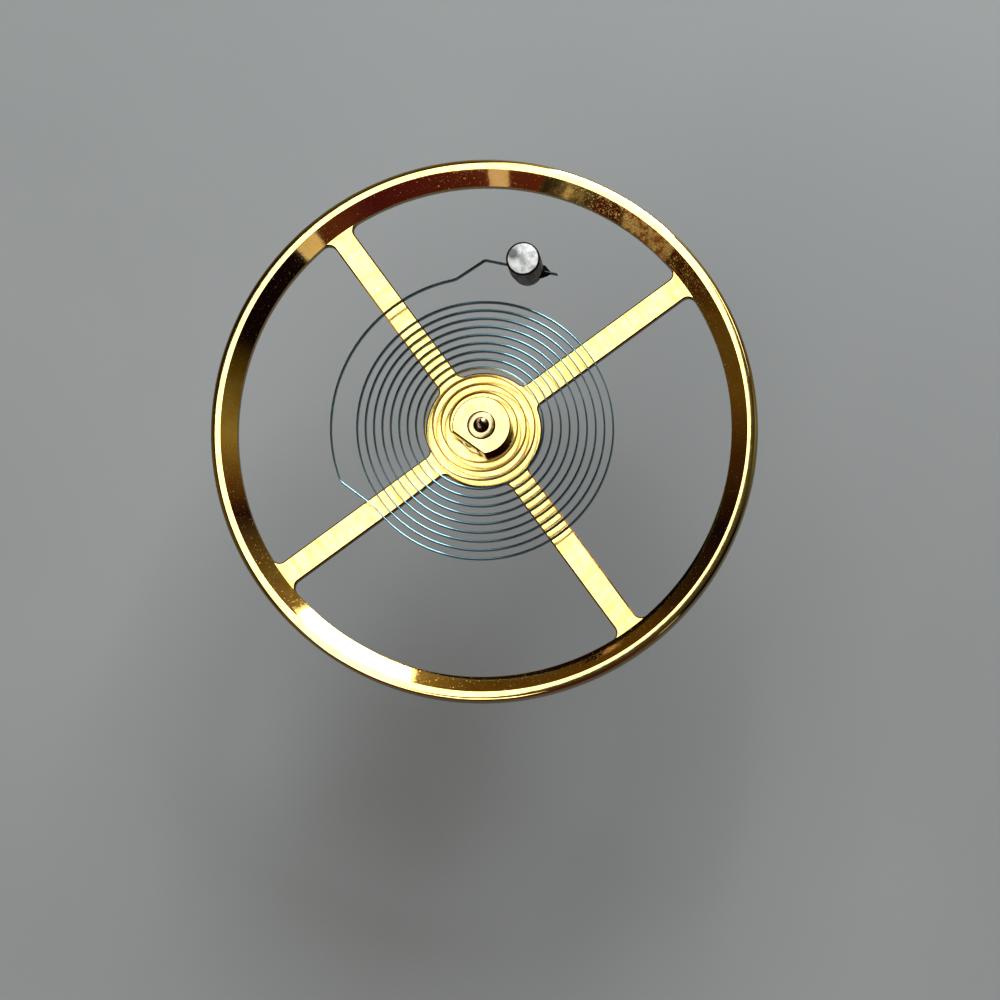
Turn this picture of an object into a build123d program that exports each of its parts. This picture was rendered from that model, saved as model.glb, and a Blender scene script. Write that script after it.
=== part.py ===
# A watch balance, complete with its hairspring. A smooth four-arm wheel is riveted on its
# staff. The double roller with its ruby pin sits below it, the collet and the flat
# hairspring sit above it, and the spring's outer end is cemented in its stud.
# All lengths are in millimetres. The origin is the tip of the lower pivot, +Z runs up the
# staff towards the hairspring, and the four arms lie along X and Y. Seen from above, the
# hairspring grows outwards clockwise.

import os
from math import atan2, cos, degrees, hypot, pi, radians, sin, sqrt

from build123d import *

os.makedirs("parts", exist_ok=True)

# Fits and cuts
press_gap = 0.004          # room left all round in a pressed or cemented seat
overrun = 0.3              # how far a cutting shape runs past what it cuts

# Staff, from the lower tip up
pivot_radius = 0.05
pivot_tip_round = 0.015
lower_pivot_length = 0.25
lower_cone_length = 0.35
lower_cone_radius = 0.17
roller_seat_radius = 0.24
roller_seat_length = 0.90
flange_radius = 0.50
flange_height = 0.30
wheel_seat_radius = 0.42
rivet_radius = 0.455       # the staff's rim spread over the hub
rivet_height = 0.04        # how far the rivet stands above the hub, and is let into it
collet_seat_radius = 0.24
collet_seat_rise = 0.04    # how far the seat shows above the collet
upper_cone_radius = 0.146
upper_cone_length = 0.36
upper_pivot_length = 0.23

# Wheel
rim_radius = 5.0
rim_rise = 0.21           # rim's top face above the arms
rim_top_width = 0.185
rim_root_width = 0.479     # at the arms, where the sloping inner wall ends
rim_crown_round = 0.085    # outer top edge
rim_foot_chamfer = 0.05    # outer bottom edge
arm_width = 0.44
arm_thickness = 0.20
arm_count = 4
arm_rim_fillet = 0.15
arm_hub_fillet = 0.12
arm_edge_chamfer = 0.025   # also at the foot of the rim's inner wall
hub_radius = 1.06
hub_thickness = 0.26
hub_boss_radius = 0.85     # the thicker middle of the hub, under the arms
poise_cut_radius = 0.14
poise_cut_depth = 0.07
poise_cut_angles = (204.0, 211.0, 218.0, 41.0)

# Double roller, with its pin on the -X side
table_radius = 0.95
table_thickness = 0.20
safety_radius = 0.42
safety_height = 0.45
roller_edge_chamfer = 0.03
passing_radius = 0.15      # the hollow that lets the fork's guard pin through
passing_reach = 0.40       # its centre, from the staff
pin_angle = 180.0
pin_reach = 0.72           # the pin's centre, from the staff
pin_radius = 0.16
pin_flat_share = 0.40      # the pin's flat, as a share of its radius
pin_below_table = 0.38
shellac_radius = 0.20
shellac_height = 0.10

# Collet
collet_radius = 0.53
collet_height = 0.58
collet_flat = 0.396        # the flat, from the staff's centre
collet_flat_angle = 197.5
collet_edge_chamfer = 0.02

# Hairspring
strip_thickness = 0.025
strip_height = 0.20
coil_plane = 0.42          # the strip's middle, above the arms
coil_pitch = 0.156
first_turn_room = 0.102    # from the collet's side to the middle of the first turn
half_turns = 23
coil_line_angle = 80.0     # the half turns meet on this line through the centre
inner_drift = 0.03         # the inner turns lean this far along that line
outer_drift = -0.035       # and the outer turns this far, the other way
inner_bend = 0.06          # radius of the bend off the collet's flat
inner_tail = 0.20          # the strip's end, past the middle of the flat
last_turn_angle = 77.5     # what the coil turns past its last whole half turn
leave_bend = 0.55
leave_angle = 14.5
elbow_bend = 0.20
end_curve_gap = 0.334      # from the coil's last turn out to the end curve's concentric arc
regulator_end_angle = 65.5
lift_bend = 0.35
lift_angle = 21.5
last_elbow_bend = 0.10
tail_length = 0.28         # the strip's end, past the stud

# Stud and its cement
stud_radius = 0.295         # just under the head; the body narrows from here down
stud_toe_radius = 0.27
stud_head_radius = 0.31    # the upper part, which the cock holds
stud_head_rise = 0.20      # the head's foot, above the strip's middle
stud_length = 1.36
stud_below_strip = 0.33
stud_edge_chamfer = 0.035
stud_angle = 38.39
stud_outset = 0.26       # from the concentric arc out to the stud's centre
stud_bore_radius = 0.11
stud_bore_angle = -48.0    # the way the strip runs through the stud
weld_radius = 0.07
weld_height = 0.035
bead_radius = 0.125
bead_reach = 0.20          # the bead's point, past the stud's side
bead_neck = 0.11           # how far the bead's shoulder stands off the stud's side
bead_shoulder_share = 0.78  # the shoulder's radius, as a share of the bead's
bead_back = 0.12           # how deep the bead reaches behind the stud's side

# Heights up the staff
roller_seat_bottom = lower_pivot_length + lower_cone_length
flange_bottom = roller_seat_bottom + roller_seat_length
hub_bottom = flange_bottom + flange_height
arm_top = hub_bottom + hub_thickness
arm_bottom = arm_top - arm_thickness
rim_top = arm_top + rim_rise
collet_bottom = arm_top + rivet_height
collet_top = collet_bottom + collet_height
collet_seat_top = collet_top + collet_seat_rise
upper_cone_top = collet_seat_top + upper_cone_length
staff_top = upper_cone_top + upper_pivot_length
strip_middle = arm_top + coil_plane
strip_bottom = strip_middle - strip_height / 2
stud_bottom = strip_middle - stud_below_strip

# Distances from the staff
rim_inner_radius = rim_radius - rim_root_width
rim_top_inner_radius = rim_radius - rim_top_width
coil_start = collet_radius + first_turn_room
coil_end = coil_start + coil_pitch * half_turns / 2
regulator_radius = coil_end + end_curve_gap
stud_reach = regulator_radius + stud_outset


def across(angle):
    # unit direction in the wheel's plane
    return Vector(cos(radians(angle)), sin(radians(angle)))


# Balance staff: one turned arbor, with a trumpet shaped cone under each pivot
with BuildPart() as balance_staff:
    with BuildSketch(Plane.XZ) as staff_section:
        with BuildLine():
            low_pivot = Polyline(
                (0, 0),
                (pivot_radius, 0),
                (pivot_radius, lower_pivot_length),
            )
            low_cone = TangentArc(
                low_pivot @ 1, (lower_cone_radius, roller_seat_bottom), tangent=(0, 1)
            )
            body = Polyline(
                low_cone @ 1,
                (roller_seat_radius, roller_seat_bottom),
                (roller_seat_radius, flange_bottom),
                (flange_radius, flange_bottom),
                (flange_radius, hub_bottom),
                (wheel_seat_radius, hub_bottom),
                (wheel_seat_radius, arm_top - rivet_height),
                (rivet_radius, arm_top),
                (rivet_radius, collet_bottom),
                (collet_seat_radius, collet_bottom),
                (collet_seat_radius, collet_seat_top),
                (upper_cone_radius, collet_seat_top),
            )
            TangentArc((pivot_radius, upper_cone_top), body @ 1, tangent=(0, -1))
            Polyline(
                (pivot_radius, upper_cone_top),
                (pivot_radius, staff_top),
                (0, staff_top),
                (0, 0),
            )
        make_face()
        levels = staff_section.vertices().group_by(Axis.Y)
        tips = [levels[0].sort_by(Axis.X)[-1], levels[-1].sort_by(Axis.X)[-1]]
        fillet(tips, radius=pivot_tip_round)
    revolve(axis=Axis.Z)

# Balance wheel: rim, arms and hub from one blank
with BuildPart() as balance_wheel:
    with BuildSketch(Plane.XY.offset(arm_bottom)) as spider:
        Circle(rim_inner_radius + rim_root_width / 2)
        Circle(rim_inner_radius, mode=Mode.SUBTRACT)
        Circle(hub_radius)
        with PolarLocations(0, arm_count):
            Rectangle(
                rim_inner_radius + rim_root_width / 4,
                arm_width,
                align=(Align.MIN, Align.CENTER),
            )
        corners = [v for v in spider.vertices() if hypot(v.X, v.Y) < rim_inner_radius + press_gap]
        fillet([v for v in corners if hypot(v.X, v.Y) < hub_radius * 2], radius=arm_hub_fillet)
        corners = [v for v in spider.vertices() if hypot(v.X, v.Y) < rim_inner_radius + press_gap]
        outer = [v for v in corners if hypot(v.X, v.Y) > rim_inner_radius - press_gap]
        fillet(outer, radius=arm_rim_fillet)
    extrude(amount=arm_thickness)
    window_edges = balance_wheel.edges().group_by(Axis.Z)[-1].sort_by(SortBy.LENGTH)[:-1]
    chamfer(window_edges, length=arm_edge_chamfer)
    with BuildSketch(Plane.XZ) as rim_section:
        with BuildLine():
            Polyline(
                (rim_inner_radius, arm_bottom),
                (rim_radius, arm_bottom),
                (rim_radius, rim_top),
                (rim_top_inner_radius, rim_top),
                (rim_inner_radius, arm_top),
                close=True,
            )
        make_face()
        outer_corners = rim_section.vertices().group_by(Axis.X)[-1].sort_by(Axis.Y)
        fillet(outer_corners[1], radius=rim_crown_round)
        outer_corners = rim_section.vertices().group_by(Axis.X)[-1].sort_by(Axis.Y)
        chamfer(outer_corners[0], length=rim_foot_chamfer)
        inner_corners = rim_section.vertices().group_by(Axis.X)[0].sort_by(Axis.Y)
        chamfer(inner_corners[1], length=arm_edge_chamfer)
    revolve(axis=Axis.Z)
    with BuildSketch(Plane.XY.offset(hub_bottom)):
        Circle(hub_boss_radius)
    extrude(amount=hub_thickness)
    with BuildSketch(Plane.XZ):
        with BuildLine():
            Polyline(
                (0, hub_bottom - overrun),
                (wheel_seat_radius + press_gap, hub_bottom - overrun),
                (wheel_seat_radius + press_gap, arm_top - rivet_height),
                (rivet_radius + press_gap, arm_top),
                (rivet_radius + press_gap, arm_top + overrun),
                (0, arm_top + overrun),
                close=True,
            )
        make_face()
    revolve(axis=Axis.Z, mode=Mode.SUBTRACT)
    with BuildSketch(Plane.XY.offset(arm_bottom)):
        for angle in poise_cut_angles:
            with PolarLocations(rim_radius - rim_root_width / 2, 1, start_angle=angle):
                Circle(poise_cut_radius)
    extrude(amount=poise_cut_depth, mode=Mode.SUBTRACT)

# Double roller: the table that carries the pin, and the safety roller under it
table_top = flange_bottom
table_bottom = table_top - table_thickness
pin_place = across(pin_angle) * pin_reach


def pin_outline(room):
    # the pin's section: round towards the staff, with a flat on its outer side
    with Locations(pin_place):
        Circle(pin_radius + room)
    flat_reach = pin_reach + pin_radius * pin_flat_share + room
    with PolarLocations(flat_reach, 1, start_angle=pin_angle):
        Rectangle(
            pin_radius,
            (pin_radius + overrun) * 2,
            align=(Align.MIN, Align.CENTER),
            mode=Mode.SUBTRACT,
        )


with BuildPart() as double_roller:
    with BuildSketch(Plane.XY.offset(table_bottom)):
        Circle(table_radius)
    extrude(amount=table_thickness)
    chamfer(double_roller.edges().group_by(Axis.Z)[0], length=roller_edge_chamfer)
    with BuildSketch(Plane.XY.offset(table_bottom - safety_height)):
        Circle(safety_radius)
        with PolarLocations(passing_reach, 1, start_angle=pin_angle):
            Circle(passing_radius, mode=Mode.SUBTRACT)
    extrude(amount=safety_height)
    with BuildSketch(Plane.XY.offset(table_bottom - safety_height)):
        Circle(roller_seat_radius + press_gap)
    extrude(amount=safety_height + table_thickness, mode=Mode.SUBTRACT)
    with BuildSketch(Plane.XY.offset(table_bottom)):
        pin_outline(press_gap)
    extrude(amount=table_thickness, mode=Mode.SUBTRACT)

# Impulse jewel: the ruby pin, flush with the table's upper face
with BuildPart() as impulse_jewel:
    with BuildSketch(Plane.XY.offset(table_bottom - pin_below_table)):
        pin_outline(0)
    extrude(amount=pin_below_table + table_thickness)

# Shellac: a low dome melted over the pin's upper end
with BuildPart() as jewel_shellac:
    with BuildSketch(Plane.XZ):
        with BuildLine():
            dome = ThreePointArc(
                (pin_place.X - shellac_radius, table_top),
                (pin_place.X, table_top + shellac_height),
                (pin_place.X + shellac_radius, table_top),
            )
            Line(dome @ 1, dome @ 0)
        make_face()
        with Locations((pin_place.X, table_top)):
            Rectangle(
                shellac_radius,
                shellac_height * 2,
                align=(Align.MIN, Align.CENTER),
                mode=Mode.SUBTRACT,
            )
    revolve(axis=Axis((pin_place.X, 0, 0), (0, 0, 1)))

# Collet: a ring with one flat for the spring's inner end
with BuildPart() as collet:
    with BuildSketch(Plane.XY.offset(collet_bottom)):
        Circle(collet_radius)
        with PolarLocations(collet_flat, 1, start_angle=collet_flat_angle):
            Rectangle(
                collet_radius,
                collet_radius * 2,
                align=(Align.MIN, Align.CENTER),
                mode=Mode.SUBTRACT,
            )
        Circle(collet_seat_radius + press_gap, mode=Mode.SUBTRACT)
    extrude(amount=collet_height)
    chamfer(collet.edges().group_by(Axis.Z)[-1], length=collet_edge_chamfer)

# The hairspring's middle line is a chain of straight runs and turns, each tangent to the
# one before it. A run is (length, 0) and a turn is (radius, degrees), left being positive.
flat_out = across(collet_flat_angle)
flat_along = across(collet_flat_angle - 90)
coil_line = across(coil_line_angle)
strip_on_flat = collet_flat + strip_thickness / 2


def drift(turn):
    return inner_drift + (outer_drift - inner_drift) * turn / half_turns


def coil_center(turn):
    # half turns have their centres by turns on either side of the staff
    side = -1 if turn % 2 == 0 else 1
    return drift(turn) + side * coil_pitch / 4


coil_radii = {-1: coil_start - coil_center(-1), 0: coil_start - coil_center(0)}
for turn in range(half_turns):
    step = coil_center(turn + 1) - coil_center(turn)
    coil_radii[turn + 1] = coil_radii[turn] + abs(step)

# inner end: along the collet's flat, then the bend that meets the first turn
first_center = coil_line * coil_center(-1)
bend_depth = strip_on_flat - inner_bend
to_bend = flat_out * bend_depth - first_center
bend_chord = coil_radii[-1] - inner_bend
bend_shift = to_bend.dot(flat_along)
bend_run = -bend_shift + sqrt(bend_shift**2 - to_bend.length**2 + bend_chord**2)
bend_center = flat_out * bend_depth + flat_along * bend_run
bend_end = bend_center - first_center
bend_end_angle = degrees(atan2(bend_end.Y, bend_end.X)) % 360
route = [
    (inner_tail + bend_run, 0),
    (inner_bend, bend_end_angle - collet_flat_angle),
    (coil_radii[-1], coil_line_angle - bend_end_angle),
]

# the coil, half turn by half turn
for turn in range(half_turns):
    route.append((coil_radii[turn], -180))
route.append((coil_radii[half_turns], -last_turn_angle))


def follow(route, place, heading):
    # where a route ends, and which way it points there
    for size, turn in route:
        if turn:
            side = across(heading + (90 if turn > 0 else -90)) * size
            place = place + side
            heading = heading + turn
            place = place - across(heading + (90 if turn > 0 else -90)) * size
        else:
            place = place + across(heading) * size
    return place, heading


route_start = flat_out * strip_on_flat - flat_along * inner_tail
start_heading = collet_flat_angle - 90

# end curve: out to the concentric arc, round it, out again and straight into the stud
route.append((leave_bend, leave_angle))
place, heading = follow(route, route_start, start_heading)
to_elbow = place + across(heading - 90) * elbow_bend
ahead = to_elbow.dot(across(heading))
elbow_reach = regulator_radius - elbow_bend
leave_run = -ahead + sqrt(ahead**2 - to_elbow.length**2 + elbow_reach**2)
elbow_center = to_elbow + across(heading) * leave_run
elbow_angle = degrees(atan2(elbow_center.Y, elbow_center.X)) % 360
elbow_turn = (elbow_angle - 90 - heading) % 360 - 360
route.append((leave_run, 0))
route.append((elbow_bend, elbow_turn))
route.append((regulator_radius, regulator_end_angle - elbow_angle))
route.append((lift_bend, lift_angle))
place, heading = follow(route, route_start, start_heading)
stud_center = across(stud_angle) * stud_reach
stud_way = across(stud_bore_angle)
last_turn = (stud_bore_angle - heading) % 360 - 360
last_setback = last_elbow_bend * sin(radians(-last_turn / 2)) / cos(radians(-last_turn / 2))
gap_to_stud = stud_center - place
corner_run = gap_to_stud.cross(stud_way).Z / across(heading).cross(stud_way).Z
corner = place + across(heading) * corner_run
corner_to_stud = (stud_center - corner).length
route.append((corner_run - last_setback, 0))
route.append((last_elbow_bend, last_turn))
route.append((corner_to_stud - last_setback + stud_radius + tail_length, 0))


def draw_side(side):
    # one long side of the strip, half a thickness from its middle line
    shift = side * strip_thickness / 2
    place = route_start + across(start_heading + 90) * shift
    first = place
    heading = start_heading
    for size, turn in route:
        if turn:
            size = size - shift if turn > 0 else size + shift
            edge = JernArc(place, across(heading), size, turn)
        else:
            edge = Line(place, place + across(heading) * size)
        heading = heading + turn
        place = edge @ 1
    return first, place


def points_along(step):
    # points on the strip's middle line, a step apart
    points = []
    place, heading = route_start, start_heading
    for size, turn in route:
        run = size * radians(abs(turn)) if turn else size
        count = int(run / step) + 1
        for index in range(count):
            share = (index + 1 / 2) / count
            short = (size, turn * share) if turn else (size * share, 0)
            point = follow([short], place, heading)[0]
            points.append((point.X, point.Y))
        place, heading = follow([(size, turn)], place, heading)
    return points


# Hairspring: one unbroken flat strip on edge
with BuildPart() as hairspring:
    with BuildSketch(Plane.XY.offset(strip_bottom)):
        with BuildLine():
            left_start, left_end = draw_side(1)
            right_start, right_end = draw_side(-1)
            Line(left_start, right_start)
            Line(left_end, right_end)
        make_face()
    extrude(amount=strip_height)

# Collet weld: the spot that holds the strip on the collet's flat
weld_foot = flat_out * (strip_on_flat + strip_thickness / 2) + Vector(0, 0, strip_middle)
with BuildPart() as collet_weld:
    with BuildSketch(Plane(origin=weld_foot, x_dir=flat_out, z_dir=flat_along)):
        with BuildLine():
            cap = ThreePointArc((0, -weld_radius), (weld_height, 0), (0, weld_radius))
            Line(cap @ 1, cap @ 0)
        make_face()
        Rectangle(
            weld_radius, weld_radius, align=(Align.MIN, Align.MAX), mode=Mode.SUBTRACT
        )
    revolve(axis=Axis(weld_foot, flat_out))

# Stud: a short steel post with a slightly wider head, cross drilled for the strip.
# Only the head is straight; the body under it is a little tapered.
stud_foot = stud_center + Vector(0, 0, stud_bottom)
strip_in_stud = stud_center + Vector(0, 0, strip_middle)
bore_start = strip_in_stud - stud_way * (stud_radius + overrun)
bore_plane = Plane(origin=bore_start, x_dir=(0, 0, 1), z_dir=stud_way)
with BuildPart() as hairspring_stud:
    with Locations(stud_foot):
        Cone(
            stud_toe_radius,
            stud_radius,
            stud_below_strip + stud_head_rise,
            align=(Align.CENTER, Align.CENTER, Align.MIN),
        )
    with BuildSketch(Plane(origin=strip_in_stud + Vector(0, 0, stud_head_rise))):
        Circle(stud_head_radius)
    extrude(amount=stud_length - stud_below_strip - stud_head_rise)
    rims = hairspring_stud.edges().filter_by(GeomType.CIRCLE).group_by(Axis.Z)
    chamfer(rims[0] + rims[-1], length=stud_edge_chamfer)
    with BuildSketch(bore_plane):
        Circle(stud_bore_radius)
    extrude(amount=(stud_radius + overrun) * 2, mode=Mode.SUBTRACT)

# Stud cement: it fills the bore's far half round the strip, and ends in a pointed bead
bead_plane = Plane(origin=strip_in_stud, x_dir=stud_way, z_dir=across(stud_bore_angle - 90))
with BuildPart() as stud_cement:
    with BuildSketch(bead_plane):
        with BuildLine():
            Polyline(
                (stud_radius + bead_reach, 0),
                (0, 0),
                (0, stud_bore_radius - press_gap),
                (stud_radius - bead_back, stud_bore_radius - press_gap),
                (stud_radius - bead_back, bead_radius),
                (stud_radius, bead_radius),
                (stud_radius + bead_neck, bead_radius * bead_shoulder_share),
                close=True,
            )
        make_face()
    revolve(axis=Axis(strip_in_stud, stud_way))
    add(hairspring_stud.part, mode=Mode.SUBTRACT)
    with BuildSketch(bore_plane):
        Rectangle(strip_height + press_gap * 2, strip_thickness + press_gap * 2)
    extrude(amount=(stud_radius + overrun) * 2 + tail_length, mode=Mode.SUBTRACT)

parts = {
    "balance_wheel": balance_wheel,
    "balance_staff": balance_staff,
    "double_roller": double_roller,
    "impulse_jewel": impulse_jewel,
    "jewel_shellac": jewel_shellac,
    "collet": collet,
    "collet_weld": collet_weld,
    "hairspring": hairspring,
    "hairspring_stud": hairspring_stud,
    "stud_cement": stud_cement,
}
for name, piece in parts.items():
    piece.part.label = name
    export_step(piece.part, f"parts/{name}.step")
    print(name, "volume", round(piece.part.volume, 5), "solids", len(piece.part.solids()))

# the hairspring's least gap to itself, on points along its middle line
point_step = coil_pitch / 4
spring_points = points_along(point_step)
next_turn = int(pi * coil_start / point_step)
least_reach = min(
    hypot(x - other_x, y - other_y)
    for index, (x, y) in enumerate(spring_points)
    for other_x, other_y in spring_points[index + next_turn :]
)
print("hairspring length", round(len(spring_points) * point_step, 1))
print("hairspring's least gap to itself", round(least_reach - strip_thickness, 3))
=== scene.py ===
import math

import bmesh
import bpy
from mathutils import Matrix, Vector, noise


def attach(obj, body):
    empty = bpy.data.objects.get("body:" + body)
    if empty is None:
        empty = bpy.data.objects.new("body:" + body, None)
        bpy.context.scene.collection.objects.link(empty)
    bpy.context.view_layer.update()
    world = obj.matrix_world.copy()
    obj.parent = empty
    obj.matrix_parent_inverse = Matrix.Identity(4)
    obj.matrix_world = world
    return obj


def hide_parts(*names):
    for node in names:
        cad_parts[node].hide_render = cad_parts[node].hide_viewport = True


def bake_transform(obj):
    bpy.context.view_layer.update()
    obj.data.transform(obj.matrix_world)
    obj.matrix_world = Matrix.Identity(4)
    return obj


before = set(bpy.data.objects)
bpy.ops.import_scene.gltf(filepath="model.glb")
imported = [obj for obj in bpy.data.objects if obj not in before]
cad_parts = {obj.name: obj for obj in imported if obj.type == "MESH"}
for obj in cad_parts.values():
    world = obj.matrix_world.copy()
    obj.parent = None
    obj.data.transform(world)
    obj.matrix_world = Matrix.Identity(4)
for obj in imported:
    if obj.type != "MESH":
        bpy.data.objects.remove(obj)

scene = bpy.context.scene
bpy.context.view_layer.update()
mm = 0.001
tiny = 1e-6


def polar(radius, angle):
    a = math.radians(angle)
    return Vector((radius * math.cos(a), radius * math.sin(a)))


def angleOf(point):
    return math.degrees(math.atan2(point[1], point[0]))


def circle(radius, steps, center=(0, 0)):
    return [polar(radius, 360 * i / steps) + Vector(center) for i in range(steps)]


def arc(center, radius, start, end, steps):
    angles = [start + (end - start) * i / steps for i in range(steps + 1)]
    return [Vector(center) + polar(radius, angle) for angle in angles]


def softened(corners, steps=4):
    # closed outline; each corner is (x, y, radius of its round)
    points = []
    count = len(corners)
    for i, (x, y, radius) in enumerate(corners):
        here = Vector((x, y))
        if radius <= 0:
            points.append(here)
            continue
        before = (Vector(corners[i - 1][:2]) - here).normalized()
        after = (Vector(corners[(i + 1) % count][:2]) - here).normalized()
        half = before.angle(after) / 2
        back = radius / math.tan(half)
        middle = here + (before + after).normalized() * (radius / math.sin(half))
        first, last = here + before * back - middle, here + after * back - middle
        for k in range(steps + 1):
            t = k / steps
            points.append(middle + (first * (1 - t) + last * t).normalized() * radius)
    return points


def smooth(mesh, sharp=30):
    for face in mesh.polygons:
        face.use_smooth = True
    mesh.set_sharp_from_angle(angle=math.radians(sharp))


def flatten(piece, weight=90):
    # broad faces keep their own direction where they meet a narrow round
    change = piece.modifiers.new("normals", "WEIGHTED_NORMAL")
    change.keep_sharp = True
    change.weight = weight
    return piece


def newObject(name, mesh):
    piece = bpy.data.objects.new(name, mesh)
    scene.collection.objects.link(piece)
    return flatten(piece)


def newPiece(name, bm, sharp=30):
    # bm is in millimetres, the piece in metres
    bmesh.ops.recalc_face_normals(bm, faces=bm.faces)
    bmesh.ops.scale(bm, vec=(mm, mm, mm), verts=bm.verts)
    mesh = bpy.data.meshes.new(name)
    bm.to_mesh(mesh)
    bm.free()
    smooth(mesh, sharp)
    return newObject(name, mesh)


def joined(name, parts):
    bm = bmesh.new()
    materials = []
    for part in parts:
        offset = len(materials)
        materials += list(part.data.materials)
        start = len(bm.faces)
        bm.from_mesh(part.data)
        bm.faces.ensure_lookup_table()
        for face in bm.faces[start:]:
            face.material_index += offset
        bpy.data.objects.remove(part)
    mesh = bpy.data.meshes.new(name)
    bm.to_mesh(mesh)
    bm.free()
    for material in materials:
        mesh.materials.append(material)
    return newObject(name, mesh)


def cutBy(piece, cutters):
    for cutter in cutters:
        change = piece.modifiers.new("cut", "BOOLEAN")
        change.object = cutter
        change.solver = "EXACT"
    bpy.context.view_layer.update()
    graph = bpy.context.evaluated_depsgraph_get()
    mesh = bpy.data.meshes.new_from_object(piece.evaluated_get(graph))
    piece.modifiers.clear()
    piece.data = mesh
    smooth(mesh)
    for cutter in cutters:
        bpy.data.objects.remove(cutter)
    return flatten(piece)


def band(bm, low, high):
    # faces between two closed rings of vertices, one of which may be a single point
    steps = max(len(low), len(high))
    for i in range(steps):
        j = (i + 1) % steps
        if len(low) == 1:
            bm.faces.new((low[0], high[j], high[i]))
        elif len(high) == 1:
            bm.faces.new((low[i], low[j], high[0]))
        else:
            bm.faces.new((low[i], low[j], high[j], high[i]))


def turn(bm, profile, steps, closed=False, place=None):
    # revolves (radius, height) points about Z, or about place's own Z
    rings = []
    for r, z in profile:
        points = circle(r, steps) if r > tiny else [Vector((0, 0))]
        rings.append([bm.verts.new((p.x, p.y, z)) for p in points])
    made = [v for ring in rings for v in ring]
    pairs = list(zip(rings, rings[1:])) + ([(rings[-1], rings[0])] if closed else [])
    for low, high in pairs:
        if len(low) > 1 or len(high) > 1:
            band(bm, low, high)
    if place is not None:
        bmesh.ops.transform(bm, matrix=place, verts=made)
    return made


def shifted(loop, amount, mitre=0.3):
    # each point of a closed outline moved to its right by amount; mitre keeps corners short
    out = []
    for i, p in enumerate(loop):
        a = (p - loop[i - 1]).normalized()
        b = (loop[(i + 1) % len(loop)] - p).normalized()
        side = Vector((a.y + b.y, -a.x - b.x)).normalized()
        out.append(p + side * amount / max(mitre, side.dot(Vector((a.y, -a.x)))))
    return out


def wall(bm, loop, levels):
    # levels are (height, how far the outline steps to its left); gives the end rings
    rings = [[bm.verts.new((p.x, p.y, z)) for p in shifted(loop, -inset)] for z, inset in levels]
    for low, high in zip(rings, rings[1:]):
        band(bm, low, high)
    return rings[0], rings[-1]


def prism(name, outline, levels):
    bm = bmesh.new()
    for end in wall(bm, outline, levels):
        bm.faces.new(end)
    return newPiece(name, bm)


def drop(radius, height, steps, base=0, foot=0, swell=1):
    # profile of a drop, from the middle of its foot over its side to its top
    turns = [math.pi / 2 * i / steps for i in range(steps)]
    side = [(radius * math.cos(t), base + height * math.sin(t) ** swell) for t in turns]
    return [(0, foot)] + side + [(0, base + height)]


# materials
def grey(value):
    return (value, value, value)


white, black = grey(1), grey(0)
noiseLow, noiseHigh = 0.3, 0.7  # most of a noise lies between these


class Nodes:
    def __init__(self, tree):
        self.tree = tree

    def join(self, a, b):
        self.tree.links.new(a, b)

    def node(self, kind, inputs=None, **settings):
        # inputs are outputs of other nodes, or fixed values
        made = self.tree.nodes.new(kind)
        for key, value in settings.items():
            setattr(made, key, value)
        for key, value in (inputs or {}).items():
            if isinstance(value, bpy.types.NodeSocket):
                self.join(value, made.inputs[key])
            else:
                made.inputs[key].default_value = value
        return made

    def ramp(self, fac, stops):
        made = self.node("ShaderNodeValToRGB", {"Fac": fac})
        while len(made.color_ramp.elements) < len(stops):
            made.color_ramp.elements.new(0.5)
        for element, (at, colour) in zip(made.color_ramp.elements, stops):
            element.position = at
            element.color = (*colour, 1)
        return made.outputs["Color"]

    def span(self, fac, low, high, fromLow=noiseLow, fromHigh=noiseHigh):
        limits = {"From Min": fromLow, "From Max": fromHigh, "To Min": low, "To Max": high}
        return self.node("ShaderNodeMapRange", {"Value": fac, **limits}).outputs["Result"]

    def calc(self, operation, *values):
        made = self.node("ShaderNodeMath", dict(enumerate(values)), operation=operation)
        return made.outputs["Value"]

    def mix(self, a, b, factor=1, blend="MIX"):
        inputs = {"Factor": factor, "A": a, "B": b}
        made = self.node("ShaderNodeMix", inputs, data_type="RGBA", blend_type=blend)
        return made.outputs["Result"]

    def times(self, a, b):
        return self.mix(a, b, blend="MULTIPLY")


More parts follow.
